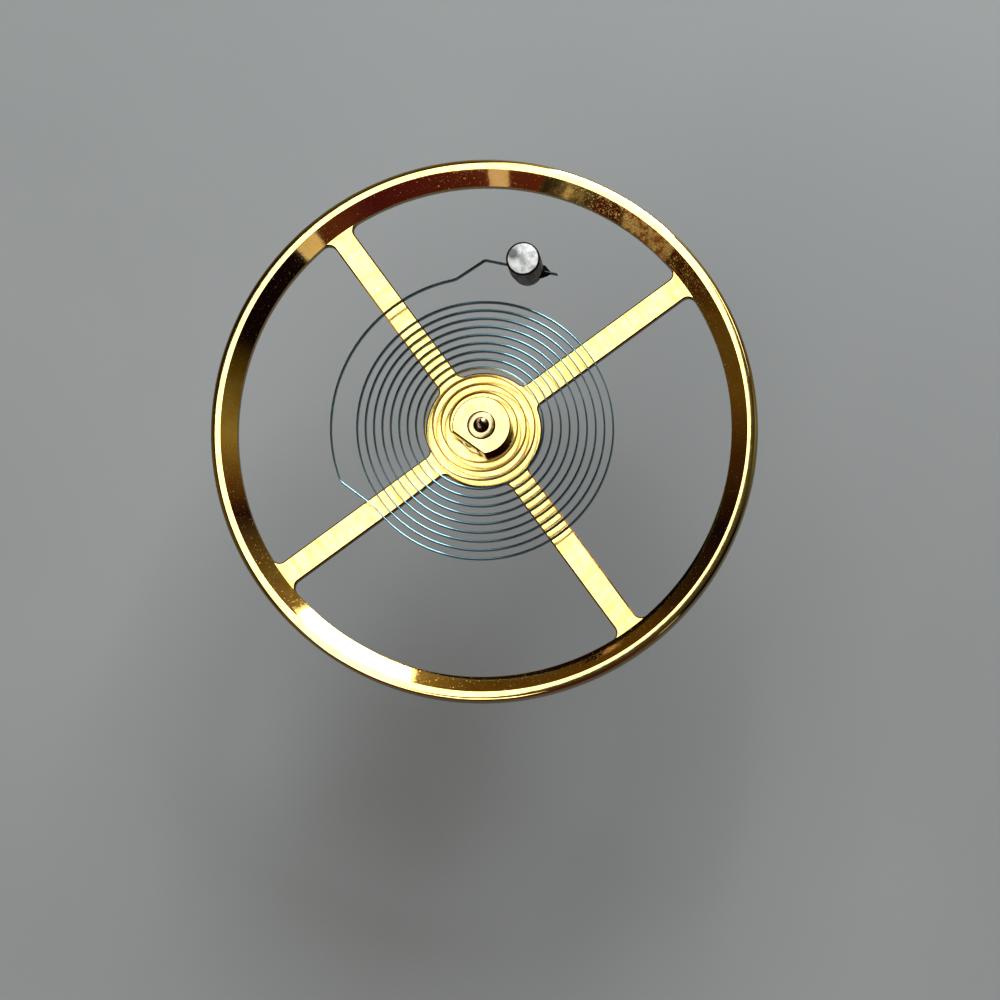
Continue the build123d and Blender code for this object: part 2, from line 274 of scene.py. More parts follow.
class Shader(Nodes):
    def __init__(self, name, surface):
        self.material = bpy.data.materials.new(name)
        self.material.use_nodes = True
        super().__init__(self.material.node_tree)
        self.surface = self.tree.nodes["Principled BSDF"]
        self.place = self.node("ShaderNodeTexCoord").outputs["Object"]
        for key, value in surface.items():
            self.surface.inputs[key].default_value = value

    def scaled(self, scale):
        made = self.node("ShaderNodeMapping", {"Scale": scale, "Vector": self.place})
        return made.outputs["Vector"]

    def grain(self, size, detail=3, roughness=0.6, stretch=None, place=None):
        # noise whose features are about size millimetres wide
        if place is None:
            place = self.scaled(stretch) if stretch else self.place
        look = {"Scale": 1 / (size * mm), "Detail": detail, "Roughness": roughness}
        return self.node("ShaderNodeTexNoise", {"Vector": place, **look}).outputs["Fac"]

    def fromAxis(self):
        # distance from the staff's axis, in metres
        level = self.scaled((1, 1, 0))
        return self.node("ShaderNodeVectorMath", {0: level}, operation="LENGTH").outputs["Value"]

    def turningMarks(self, size, detail=2, roughness=0.5, drift=0.12):
        # noise drawn out into rings about the axis
        ring = self.node("ShaderNodeCombineXYZ", {"X": self.fromAxis()}).outputs["Vector"]
        added = {0: ring, 1: self.scaled((drift, drift, drift))}
        both = self.node("ShaderNodeVectorMath", added, operation="ADD")
        return self.grain(size, detail, roughness, place=both.outputs["Vector"])

    def spot(self, center, size, turned=0):
        # 1 at center, falling to 0 at size millimetres from it
        moved = self.node("ShaderNodeMapping", {
            "Location": [v * mm for v in center], "Scale": [v * mm for v in size],
            "Rotation": (0, 0, math.radians(turned)), "Vector": self.place,
        }, vector_type="TEXTURE")
        place = moved.outputs["Vector"]
        made = self.node("ShaderNodeTexGradient", {"Vector": place}, gradient_type="SPHERICAL")
        return made.outputs["Fac"]

    def darkenedBySpots(self, colour, darkSpots):
        # each dark spot is (center, size, turn about Z, tones from its rim to its middle)
        for center, size, turned, tones in darkSpots:
            colour = self.times(colour, self.ramp(self.spot(center, size, turned), tones))
        return colour

    def bump(self, height, depth, under=None):
        # depth in millimetres
        look = {"Strength": 1.0, "Distance": depth * mm, "Height": height}
        if under is not None:
            look["Normal"] = under
        return self.node("ShaderNodeBump", look).outputs["Normal"]

    def finish(self, colour, roughness, normal=None):
        for key, value in (("Base Color", colour), ("Roughness", roughness), ("Normal", normal)):
            if value is not None:
                self.join(value, self.surface.inputs[key])
        return self.material


metal = {"Metallic": 1.0}
# in every look, a noise is (size in millimetres, detail, roughness, stretch), "rough" is the
# surface's roughness at the noise's two ends, and depths are in millimetres
plainLooks = {
    # painted shade: the arms' edges and sides are a dark copy of the gilt, for the dark
    # surroundings they reflect
    "giltEdgesPaintedShade": {
        "surface": metal, "cloud": (0.08, 3),
        "dark": (0.20, 0.12, 0.04), "light": (0.30, 0.18, 0.06),
        "rough": (0.12, 0.22), "depth": 0.0006,
    },
    # painted shade: the collet's sides are near-black bronze, for the shadow and dark reflection
    # they show
    "colletSidePaintedShade": {
        "surface": {"Metallic": 1.0, "Specular Tint": (0.10, 0.035, 0.02, 1)}, "cloud": (0.08, 3),
        "dark": (0.04, 0.011, 0.005), "light": (0.07, 0.020, 0.009),
        "rough": (0.06, 0.12), "depth": 0.0003,
    },
    # painted reflection: the staff's steel is tinted warm, for the gilt it mirrors
    "hardSteelPaintedReflection": {
        "surface": metal, "cloud": (0.05, 3),
        "dark": (0.44, 0.36, 0.20), "light": (0.54, 0.45, 0.26),
        "rough": (0.12, 0.20), "fine": (0.02, 2, 0.6, (0.2, 0.2, 1.6)), "depth": 0.0002,
    },
    # painted shade: the pivots are near-black steel, for the dark they reflect
    "pivotSteelPaintedShade": {
        "surface": metal, "cloud": (0.05, 3),
        "dark": (0.11, 0.06, 0.045), "light": (0.17, 0.10, 0.075),
        "rough": (0.04, 0.10),
    },
    # painted shade: the stud's top chamfer ring is near black
    "studRingPaintedShade": {
        "surface": metal, "cloud": (0.05, 3),
        "dark": (0.015, 0.016, 0.017), "light": (0.04, 0.042, 0.043),
        "rough": (0.4, 0.6),
    },
    "rollerBrass": {
        "surface": metal, "cloud": (0.12, 3),
        "dark": (0.62, 0.42, 0.14), "light": (0.80, 0.58, 0.24),
        "rough": (0.16, 0.28), "fine": (0.03, 2), "depth": 0.0006,
    },
    "ruby": {
        "surface": {"Metallic": 0.0, "IOR": 1.76, "Transmission Weight": 0.55}, "cloud": (0.1, 2),
        "dark": (0.50, 0.008, 0.03), "light": (0.72, 0.02, 0.07), "rough": (0.04, 0.09),
    },
    "shellac": {
        "surface": {"Metallic": 0.0, "IOR": 1.52, "Coat Weight": 0.6}, "cloud": (0.06, 3),
        "dark": (0.10, 0.028, 0.006), "light": (0.26, 0.085, 0.018),
        "rough": (0.12, 0.3), "depth": 0.004,
    },
    "cement": {
        "surface": {"Metallic": 0.0, "IOR": 1.05, "Specular IOR Level": 0.1}, "cloud": (0.04, 3),
        "dark": (0.002, 0.002, 0.002), "light": (0.006, 0.006, 0.005),
        "rough": (0.6, 0.8), "depth": 0.002,
    },
    "weldMetal": {
        "surface": metal, "cloud": (0.03, 3),
        "dark": (0.66, 0.52, 0.08), "light": (0.82, 0.68, 0.15),
        "rough": (0.4, 0.6), "depth": 0.001,
    },
}


def plainMaterial(name, look):
    s = Shader(name, look["surface"])
    cloud = s.grain(*look["cloud"])
    colour = s.ramp(cloud, [(noiseLow, look["dark"]), (noiseHigh, look["light"])])
    normal = None
    if "depth" in look:
        normal = s.bump(s.grain(*look["fine"]) if "fine" in look else cloud, look["depth"])
    return s.finish(colour, s.span(cloud, *look["rough"]), normal)


giltLooks = {
    "giltFlats": {
        "patch": (0.20, 4, 0.65), "rough": (0.19, 0.12),
        "tones": [(0.30, (0.97, 0.67, 0.18)), (0.48, (1.0, 0.73, 0.23)), (0.66, (1.0, 0.77, 0.28))],
        "mark": (0.13, 3), "markTones": [(0.32, (0.90, 0.82, 0.60)), (0.50, white)],
        "markDepth": 0.0021, "fine": (0.03, 2), "fineDepth": 0.0003,
    },
    # painted highlight: the rim's crown is a paler copy of the gilt
    "giltCrownPaintedHighlight": {
        "patch": (0.25, 4, 0.6), "rough": (0.05, 0.09),
        "tones": [(0.32, (0.98, 0.70, 0.22)), (0.6, (1.0, 0.78, 0.30))],
        "mark": (0.03,), "markDepth": 0.0002,
    },
}


def giltMaterial(name, look):
    # turned gilt, with its marks in rings about the axis
    s = Shader(name, metal)
    patches = s.grain(*look["patch"])
    marks = s.turningMarks(*look["mark"])
    colour = s.ramp(patches, look["tones"])
    if "markTones" in look:
        colour = s.times(colour, s.ramp(marks, look["markTones"]))
    under = s.bump(s.grain(*look["fine"]), look["fineDepth"]) if "fine" in look else None
    normal = s.bump(marks, look["markDepth"], under)
    return s.finish(colour, s.span(patches, *look["rough"]), normal)


turnedLook = {
    "patch": (0.25, 4, 0.6), "tones": [(0.32, (0.93, 0.54, 0.12)), (0.6, (1.0, 0.66, 0.20))],
    "patchDepth": 0.0004, "specks": (0.05, 2, 0.7), "speckDepth": 0.00015,
    # mottled and worn along one stretch of the rim
    "zoneCenter": (4.55, 1.05, 2.2), "zoneSize": (2.3, 2.3, 2.3),
    "zoneTones": [(0.05, black), (0.55, white)],
    "mottle": (0.16, 4, 0.75), "mottleTones": [(0.46, black), (0.56, white)],
    "mottleTint": (0.50, 0.26, 0.16),
    # bright flecks, more of them in the worn stretch
    "flecks": (0.028, 2, 0.6), "moreFlecks": 0.11, "fleckSpan": (0.64, 0.74), "rough": (0.05, 0.42),
}


def giltTurned(look):
    s = Shader("giltTurned", metal)
    patches = s.grain(*look["patch"])
    specks = s.grain(*look["specks"])
    normal = s.bump(patches, look["patchDepth"], s.bump(specks, look["speckDepth"]))
    zone = s.ramp(s.spot(look["zoneCenter"], look["zoneSize"]), look["zoneTones"])
    mottle = s.times(zone, s.ramp(s.grain(*look["mottle"]), look["mottleTones"]))
    tint = s.ramp(mottle, [(0.0, white), (1.0, look["mottleTint"])])
    colour = s.times(s.ramp(patches, look["tones"]), tint)
    flecks = s.calc("MULTIPLY_ADD", zone, look["moreFlecks"], s.grain(*look["flecks"]))
    return s.finish(colour, s.span(flecks, *look["rough"], *look["fleckSpan"]), normal)


studTopLook = {
    "cloud": (0.12, 4, 0.7), "tones": [(0.34, (0.20, 0.205, 0.205)), (0.58, (0.40, 0.41, 0.41))],
    "darkSpots": [  # one near the edge and a fainter one in the middle
        ((2.274, 2.065, 3.51), (0.15, 0.15, 0.15), 0, [(0.0, white), (0.55, (0.22, 0.23, 0.23))]),
        ((2.355, 1.88, 3.51), (0.11, 0.14, 0.14), 0, [(0.0, white), (0.7, (0.55, 0.56, 0.56))]),
    ],
    "fine": (0.04, 3, 0.7), "rough": (0.28, 0.42), "depth": 0.001,
}


def studTop(look):
    s = Shader("studTop", metal)
    colour = s.darkenedBySpots(s.ramp(s.grain(*look["cloud"]), look["tones"]), look["darkSpots"])
    fine = s.grain(*look["fine"])
    return s.finish(colour, s.span(fine, *look["rough"]), s.bump(fine, look["depth"]))


studSideLook = {
    "surface": {"Metallic": 0.6}, "streaks": (0.07, 4, 0.8, (1, 1, 0.14)),
    "tones": [(0.42, (0.12, 0.125, 0.125)), (0.51, (0.22, 0.23, 0.23)), (0.60, (0.34, 0.35, 0.35))],
    "glancing": [(0.42, (0.12, 0.125, 0.125)), (0.51, (0.45, 0.46, 0.46)), (0.60, white)],
    # painted shade: darker on its outer side, where the lamps light it
    "darkSpots": [((2.32, 1.58, 2.7), (0.62, 0.62, 1.6), 0, [(0.0, grey(0.3)), (0.4, white)])],
    "rough": (0.30, 0.5), "depth": 0.004,
}


def studSide(look):
    # drawn wire, whose scale lies in streaks along it
    s = Shader("studSide", look["surface"])
    streaks = s.grain(*look["streaks"])
    s.join(s.ramp(streaks, look["glancing"]), s.surface.inputs["Specular Tint"])
    colour = s.darkenedBySpots(s.ramp(streaks, look["tones"]), look["darkSpots"])
    return s.finish(colour, s.span(streaks, *look["rough"]), s.bump(streaks, look["depth"]))


springLook = {
    "drift": (0.6, 2), "tones": [(0.35, (0.11, 0.23, 0.29)), (0.65, (0.15, 0.30, 0.36))],
    # painted shade: darker beside the stud, over the end curve and tail
    "darkSpots": [
        ((2.25, 1.95, 2.48), (1.15, 1.15, 1.15), 0, [(0.0, white), (0.35, (0.22, 0.18, 0.16))]),
    ],
    # painted reflection: straw and brown over the first turns stand for the gilt collet and hub
    # that the strip mirrors, as shares of the reach from the axis
    "paintedReflectReach": 1.5, "paintedReflectMask": [(0.0, white), (0.64, white), (0.70, black)],
    "metallic": (1.0, 0.45),
    "paintedReflectTones": [(0.34, (0.75, 0.60, 0.14)), (0.38, (0.46, 0.27, 0.05)), (0.7, (0.34, 0.20, 0.045))],
    "lines": (0.012, 2, 0.5, (0.3, 0.3, 3.0)), "rough": (0.08, 0.14), "depth": 0.0001,
}


def bluedAlloy(look):
    s = Shader("bluedAlloy", metal)
    drift = s.grain(*look["drift"])
    colour = s.darkenedBySpots(s.ramp(drift, look["tones"]), look["darkSpots"])
    # painted reflection of the gilt over the first turns
    reach = s.span(s.fromAxis(), 0.0, 1.0, 0.0, look["paintedReflectReach"] * mm)
    paintedReflectMask = s.ramp(reach, look["paintedReflectMask"])
    colour = s.mix(colour, s.ramp(reach, look["paintedReflectTones"]), paintedReflectMask)
    s.join(s.span(paintedReflectMask, *look["metallic"], 0.0, 1.0), s.surface.inputs["Metallic"])
    normal = s.bump(s.grain(*look["lines"]), look["depth"])
    return s.finish(colour, s.span(drift, *look["rough"]), normal)


floorLook = {
    "cloud": (9.0, 3, 0.5),
    "tones": [(noiseLow, (0.188, 0.200, 0.205)), (noiseHigh, (0.214, 0.227, 0.232))],
    "darkSpots": [  # painted shadow: a soft darker middle, and a fainter painted shade to one side
        ((-2.6, -3.6, -6), (7.5, 11.5, 11.5), -36,
         [(0.0, white), (0.35, grey(0.88)), (0.7, grey(0.74))]),
        ((6.9, -6.6, -6), (12, 12, 12), 0, [(0.0, white), (0.5, grey(0.90)), (0.9, grey(0.86))]),
    ],
    "mirrored": (0.05, 0.055, 0.055, 1), "rough": (0.5, 0.65),
}


def paleFloor(look):
    s = Shader("paleFloor", {"Metallic": 0.0})
    cloud = s.grain(*look["cloud"])
    colour = s.darkenedBySpots(s.ramp(cloud, look["tones"]), look["darkSpots"])
    glossy = s.node("ShaderNodeLightPath").outputs["Is Glossy Ray"]
    # the polished pieces mirror a darker floor
    return s.finish(s.mix(colour, look["mirrored"], glossy), s.span(cloud, *look["rough"]))


paint = {name: plainMaterial(name, look) for name, look in plainLooks.items()}
paint.update({name: giltMaterial(name, look) for name, look in giltLooks.items()})
for made in (giltTurned(turnedLook), studTop(studTopLook), studSide(studSideLook),
             bluedAlloy(springLook), paleFloor(floorLook)):
    paint[made.name] = made
print("materials:", len(paint))


def coat(piece, names, pick=None):
    # pick gives the number of the name whose material a face gets
    for name in names:
        piece.data.materials.append(paint[name])
    if pick:
        for face in piece.data.polygons:
            face.material_index = int(pick(face))
    return piece


def dress(piece, body, node):
    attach(piece, body)
    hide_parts(node)


# balance wheel
wheel = {
    "radius": 5.0, "topInner": 4.815, "inner": 4.521, "bottom": 1.86, "armTop": 2.06, "top": 2.27,
    "crown": 0.085, "foot": 0.05, "edge": 0.025, "wallFoot": 0.010, "armHalf": 0.22,
    "rimFillet": 0.15, "hub": 1.06, "hubFillet": 0.12, "boss": 0.85, "bossBottom": 1.80,
    "bore": 0.424, "sink": 0.459, "sinkDepth": 0.04, "cutRadius": 0.14, "cutDepth": 0.07,
    "cutReach": 4.7605, "cutAngles": (204.0, 211.0, 218.0, 41.0),
    # rounds of the rim's and the boss's profiles
    "innerRound": 0.008, "footRound": 0.01, "topRound": 0.012, "wallRound": 0.003,
    "boreRound": 0.01, "bossRound": 0.02,
    # small steps that keep the arms, rim and boss from sharing a face
    "rimOverlap": 0.02, "rimGap": 0.006, "armLift": 0.0005, "bossTop": 0.05, "sinkGap": 0.001,
    "rimSteps": 480, "roundSteps": 5, "bossSteps": 160, "cutSteps": 40, "rimSharp": 50,
    "windowSteps": {"hub": 14, "hubFillet": 8, "arm": 12, "rimFillet": 10, "rim": 60},
    "overrun": 0.1, "merge": 0.0005,
}
quarters, diagonal = 4, 45  # four arms, and the middle of the opening between two, in degrees


def windowOutline(w):
    # the opening between two arms, anticlockwise, with each point's partner on the outline
    # of its quarter: the sink's edge, the arms' middle lines and a circle in the rim
    edge, f, g, steps = w["armHalf"], w["hubFillet"], w["rimFillet"], w["windowSteps"]
    nearHub = (math.sqrt((w["hub"] + f) ** 2 - (edge + f) ** 2), edge + f)
    nearRim = (math.sqrt((w["inner"] - g) ** 2 - (edge + g) ** 2), edge + g)
    hubAngle, rimAngle = angleOf(nearHub), angleOf(nearRim)

    def facing(points, near, reach):
        # partners spread from the arm's middle line to the diagonal
        shares = [(angleOf(p) - near) / (diagonal - near) for p in points]
        return [(p, polar(reach, diagonal * share)) for p, share in zip(points, shares)]

    half = facing(arc((0, 0), w["hub"], diagonal, hubAngle, steps["hub"]), hubAngle, w["sink"])
    side = arc(nearHub, f, hubAngle + 180, 270, steps["hubFillet"])[1:]
    reach = nearRim[0] - side[-1].x
    side += [Vector((side[-1].x + reach * k / steps["arm"], edge)) for k in range(1, steps["arm"])]
    side += arc(nearRim, g, 270, 360 + rimAngle, steps["rimFillet"])[:-1]
    half += [(p, Vector((p.x, 0))) for p in side]
    # a little inside the rim's own wall, so that the rim's face is the one that shows
    far = arc((0, 0), w["inner"] + w["rimGap"], rimAngle, diagonal, steps["rim"])
    half += facing(far, rimAngle, w["inner"] + w["rimOverlap"])
    mirror = [(p.yx, q.yx) for p, q in reversed(half)]
    return half + mirror[1:-1]


def buildRim(w, crownSlope=0.2):
    corner = math.hypot(w["topInner"] - w["inner"], w["top"] - w["armTop"])
    footR = w["inner"] + (w["topInner"] - w["inner"]) * w["wallFoot"] / corner
    footZ = w["armTop"] + (w["top"] - w["armTop"]) * w["wallFoot"] / corner
    bm = bmesh.new()
    turn(bm, softened([
        (w["inner"], w["bottom"], w["innerRound"]),
        (w["radius"] - w["foot"], w["bottom"], w["footRound"]),
        (w["radius"], w["bottom"] + w["foot"], w["footRound"]),
        (w["radius"], w["top"], w["crown"]),
        (w["topInner"], w["top"], w["topRound"]),
        (footR, footZ, w["wallRound"]),
        (w["inner"], w["armTop"] - w["wallFoot"], w["wallRound"]),
    ], w["roundSteps"]), w["rimSteps"], closed=True)
    rim = newPiece("wheelRim", bm, w["rimSharp"])
    cutters = []
    low, high = w["bottom"] - w["overrun"], w["bottom"] + w["cutDepth"]
    for angle in w["cutAngles"]:
        at, r = polar(w["cutReach"], angle), w["cutRadius"]
        bm = bmesh.new()
        turn(bm, [(0, low), (r, low), (r, high), (0, high)], w["cutSteps"])
        bmesh.ops.translate(bm, vec=(at.x, at.y, 0), verts=bm.verts)
        cutters.append(newPiece("cutter", bm))

    def onCrown(face):
        return face.normal.z > crownSlope and face.center.xy.length > w["topInner"] * mm

    # the crown gets the paler gilt of the painted highlight
    return coat(cutBy(rim, cutters), ["giltTurned", "giltCrownPaintedHighlight"], onCrown)


def buildArms(w, flatSlope=0.9):
    bm = bmesh.new()
    window = windowOutline(w)
    foot, edge = w["bottom"] + w["armLift"], w["edge"]
    levels = [(foot, 0), (w["armTop"] - edge, 0), (w["armTop"], edge)]
    for k in range(quarters):
        spin = Matrix.Rotation(math.radians(360 / quarters * k), 2)
        loop = [spin @ p for p, q in reversed(window)]
        partner = [spin @ q for p, q in reversed(window)]
        low, high = wall(bm, loop, levels)
        band(bm, [bm.verts.new((q.x, q.y, foot)) for q in partner], low)
        band(bm, high, [bm.verts.new((q.x, q.y, w["armTop"])) for q in partner])
    bmesh.ops.remove_doubles(bm, verts=bm.verts, dist=w["merge"])
    arms = newPiece("wheelArms", bm)
    # the arms' edges and sides get the painted shade, their flat faces the gilt
    return coat(arms, ["giltEdgesPaintedShade", "giltFlats"], lambda face: abs(face.normal.z) > flatSlope)


def buildBoss(w):
    bm = bmesh.new()
    turn(bm, softened([
        (w["bore"], w["bossBottom"], w["boreRound"]),
        (w["boss"], w["bossBottom"], w["bossRound"]),
        (w["boss"], w["armTop"] - w["bossTop"], 0),
        (w["sink"], w["armTop"] - w["sinkGap"], 0),
        (w["bore"], w["armTop"] - w["sinkDepth"], 0),
    ]), w["bossSteps"], closed=True)
    return coat(newPiece("wheelBoss", bm), ["giltTurned"])


wheelPiece = joined("balanceWheel", [buildArms(wheel), buildRim(wheel), buildBoss(wheel)])
dress(wheelPiece, "balance", "balance_wheel")
print("wheel:", len(wheelPiece.data.polygons), "faces")

# balance staff
staff = {
    "pivot": 0.05, "tipRound": 0.015, "lowPivot": 0.25, "lowCone": (0.17, 0.60), "seat": 0.24,
    "flangeBottom": 1.50, "flange": 0.50, "hubBottom": 1.80, "wheelSeat": 0.42, "rivet": 0.455,
    "armTop": 2.06, "rivetHeight": 0.04, "colletSeatTop": 2.72, "topCone": (0.146, 2.72),
    "topPivotFoot": 3.08, "top": 3.31, "edge": 0.012, "steps": 96, "roundSteps": 3, "coneSteps": 14,
    "sharp": 35, "tipTurns": (0, 0.4, 0.8, 1.2, math.pi / 2), "seatMargin": 0.002,
}


def trumpet(start, end, steps):
    # arc that leaves start along Z and runs through end
    dr, dz = end[0] - start[0], end[1] - start[1]
    radius = (dr * dr + dz * dz) / (2 * abs(dr))
    sweep = math.asin(min(1, abs(dz) / radius))
    side = 1 if dr > 0 else -1
    points = []
    for i in range(steps + 1):
        t = sweep * i / steps
        rise = math.copysign(radius * math.sin(t), dz)
        points.append((start[0] + side * radius * (1 - math.cos(t)), start[1] + rise))
    return points


def buildStaff(s):
    r, soft, edge = s["pivot"], s["tipRound"], s["edge"]
    profile = [(0, 0)]
    profile += [(r - soft + soft * math.sin(t), soft - soft * math.cos(t)) for t in s["tipTurns"]]
    profile += trumpet((r, s["lowPivot"]), s["lowCone"], s["coneSteps"])
    steps = [
        (s["seat"], s["lowCone"][1]), (s["seat"], s["flangeBottom"]),
        (s["flange"], s["flangeBottom"]), (s["flange"], s["hubBottom"]),
        (s["wheelSeat"], s["hubBottom"]),
        (s["wheelSeat"], s["armTop"] - s["rivetHeight"]), (s["rivet"], s["armTop"]),
        (s["rivet"], s["armTop"] + s["rivetHeight"]), (s["seat"], s["armTop"] + s["rivetHeight"]),
        (s["seat"], s["colletSeatTop"]),
    ]
    closed = [(*s["lowCone"], 0)] + [(a, b, edge) for a, b in steps]
    closed += [(*s["topCone"], 0), (0, s["topCone"][1], 0), (0, s["lowCone"][1], 0)]
    profile += [tuple(p) for p in softened(closed, s["roundSteps"])][1:-2]
    profile += list(reversed(trumpet((r, s["topPivotFoot"]), s["topCone"], s["coneSteps"])))[1:]
    tip = s["top"] - soft
    profile += [(r - soft + soft * math.cos(t), tip + soft * math.sin(t)) for t in s["tipTurns"]]
    profile.append((0, s["top"]))
    bm = bmesh.new()
    turn(bm, profile, s["steps"])
    # painted shade: faces below low and above high, the pivots, get the near-black steel
    low, high = s["lowCone"][1] * mm, (s["topCone"][1] + s["seatMargin"]) * mm
    piece = newPiece("balanceStaff", bm, s["sharp"])
    # the staff's body gets the warm painted reflection
    return coat(piece, ["hardSteelPaintedReflection", "pivotSteelPaintedShade"], lambda face: not low <= face.center.z <= high)


dress(buildStaff(staff), "balance", "balance_staff")

# double roller, its pin and the shellac
roller = {
    "table": 0.95, "tableBottom": 1.30, "tableTop": 1.50, "edge": 0.03, "soft": 0.012,
    "safety": 0.42, "safetyBottom": 0.85, "hollow": 0.15, "hollowReach": 0.40, "bore": 0.244,
    "pinReach": 0.72, "pin": 0.16, "pinFlat": 0.064, "pinBottom": 0.92, "pinToe": 0.012,
    "pinEdge": 0.01, "gap": 0.004,
    "shellac": 0.20, "shellacHeight": 0.10, "shellacSwell": 0.9,
    "steps": 160, "hollowSteps": 48, "pinSteps": 40, "shellacSteps": (12, 48), "shellacSharp": 60,
    "overrun": 0.1,
}


def pinOutline(r, room):
    # round towards the staff, flat on its outer side, anticlockwise
    half = math.degrees(math.acos((r["pinFlat"] + room) / (r["pin"] + room)))
    return arc((-r["pinReach"], 0), r["pin"] + room, -180 + half, 180 - half, r["pinSteps"])


def buildRoller(r):
    edge, soft, over = r["edge"], r["soft"], r["overrun"]
    bm = bmesh.new()
    turn(bm, [
        (r["bore"], r["safetyBottom"]), (r["safety"] - soft, r["safetyBottom"]),
        (r["safety"], r["safetyBottom"] + soft), (r["safety"], r["tableBottom"]),
        (r["table"] - edge, r["tableBottom"]), (r["table"], r["tableBottom"] + edge),
        (r["table"], r["tableTop"] - soft), (r["table"] - soft, r["tableTop"]),
        (r["bore"], r["tableTop"]),
    ], r["steps"], closed=True)
    body = newPiece("doubleRoller", bm)
    slotLevels = [(r["tableBottom"] - over, 0), (r["tableTop"] + over, 0)]
    hollowLevels = [(r["safetyBottom"] - over, 0), (r["tableBottom"], 0)]
    hollow = circle(r["hollow"], r["hollowSteps"], (-r["hollowReach"], 0))
    slot = prism("slot", pinOutline(r, r["gap"]), slotLevels)
    passing = prism("passing", hollow, hollowLevels)
    return coat(cutBy(body, [slot, passing]), ["rollerBrass"])


def buildPin(r):
    pin = prism("impulseJewel", pinOutline(r, 0), [
        (r["pinBottom"], r["pinToe"]), (r["pinBottom"] + r["pinToe"], 0),
        (r["tableTop"] - r["pinEdge"], 0), (r["tableTop"], r["pinEdge"]),
    ])
    return coat(pin, ["ruby"])


def buildShellac(r):
    across, around = r["shellacSteps"]
    top = r["tableTop"]
    bm = bmesh.new()
    turn(bm, drop(r["shellac"], r["shellacHeight"], across, top, top, r["shellacSwell"]), around)
    bmesh.ops.translate(bm, vec=(-r["pinReach"], 0, 0), verts=bm.verts)
    return coat(newPiece("jewelShellac", bm, r["shellacSharp"]), ["shellac"])


dress(buildRoller(roller), "balance", "double_roller")
dress(buildPin(roller), "balance", "impulse_jewel")
dress(buildShellac(roller), "balance", "jewel_shellac")
print("roller, pin and shellac done")

# collet
collet = {
    "radius": 0.53, "flat": 0.396, "flatAngle": 197.5, "bore": 0.244, "bottom": 2.10, "top": 2.68,
    "edge": 0.02, "boreEdge": 0.018, "footEdge": 0.006, "roundSteps": 120, "flatSteps": 24,
}
flatOut = polar(1, collet["flatAngle"])
flatAlong = polar(1, collet["flatAngle"] - 90)


def buildCollet(c, topSlope=0.9):
    half = math.degrees(math.acos(c["flat"] / c["radius"]))
    start = c["flatAngle"] + half
    steps = c["flatSteps"]
    outline = arc((0, 0), c["radius"], start, start + 360 - 2 * half, c["roundSteps"])
    first, last = outline[-1], outline[0]
    outline += [first + (last - first) * k / steps for k in range(1, steps)]
    bore = [p.normalized() * c["bore"] for p in reversed(outline)]
    bottom, top, foot, edge, inner = c["bottom"], c["top"], c["footEdge"], c["edge"], c["boreEdge"]
    bm = bmesh.new()
    levels = [(bottom, foot), (bottom + foot, 0), (top - edge, 0), (top, edge)]
    low, high = wall(bm, outline, levels)
    lowBore, highBore = wall(bm, bore, [(bottom, 0), (top - inner, 0), (top, inner)])
    band(bm, high, list(reversed(highBore)))
    band(bm, list(reversed(lowBore)), low)
    piece = newPiece("collet", bm)
    # the collet's sides get the painted shade, its top the gilt
    return coat(piece, ["colletSidePaintedShade", "giltFlats"], lambda face: face.normal.z > topSlope)


dress(buildCollet(collet), "balance", "collet")

# hairspring, from the collet's flat to the stud
spring = {
    "thickness": 0.025, "height": 0.20, "middle": 2.48, "pitch": 0.156, "firstRoom": 0.102,
    "halfTurns": 23, "lineAngle": 80.0, "innerDrift": 0.03, "outerDrift": -0.035, "innerBend": 0.06,
    "innerTail": 0.20, "lastTurn": 77.5, "leaveBend": 0.55, "leaveAngle": 14.5, "elbowBend": 0.20,
    "curveGap": 0.334, "curveEnd": 65.5, "liftBend": 0.35, "liftAngle": 21.5, "lastBend": 0.10,
    "tail": 0.28, "edgeRound": 0.012, "roundSteps": 3, "sharp": 60,
    "turnStep": 3.6, "turnLeast": 4, "runStep": 0.08, "runLeast": 2,
}
stud = {
    "radius": 0.295, "toe": 0.27, "headRadius": 0.31, "headFoot": 2.68, "bottom": 2.15, "top": 3.51,
    "edge": 0.035, "angle": 38.39, "outset": 0.26, "bore": 0.11, "boreAngle": -48.0,
    "toeRound": 0.008, "headRound": 0.012, "steps": 96, "boreSteps": 48, "boreHalf": 0.6,
    "topSlope": 0.95, "ringSlope": 0.3,
}


def follow(route, place, heading):
    # the end of a route of straight runs (length, 0) and turns (radius, degrees)
    for size, turned in route:
        if turned:
            place = place + polar(size, heading + math.copysign(90, turned))
            heading += turned
            place = place - polar(size, heading + math.copysign(90, turned))
        else:
            place = place + polar(size, heading)
    return place, heading


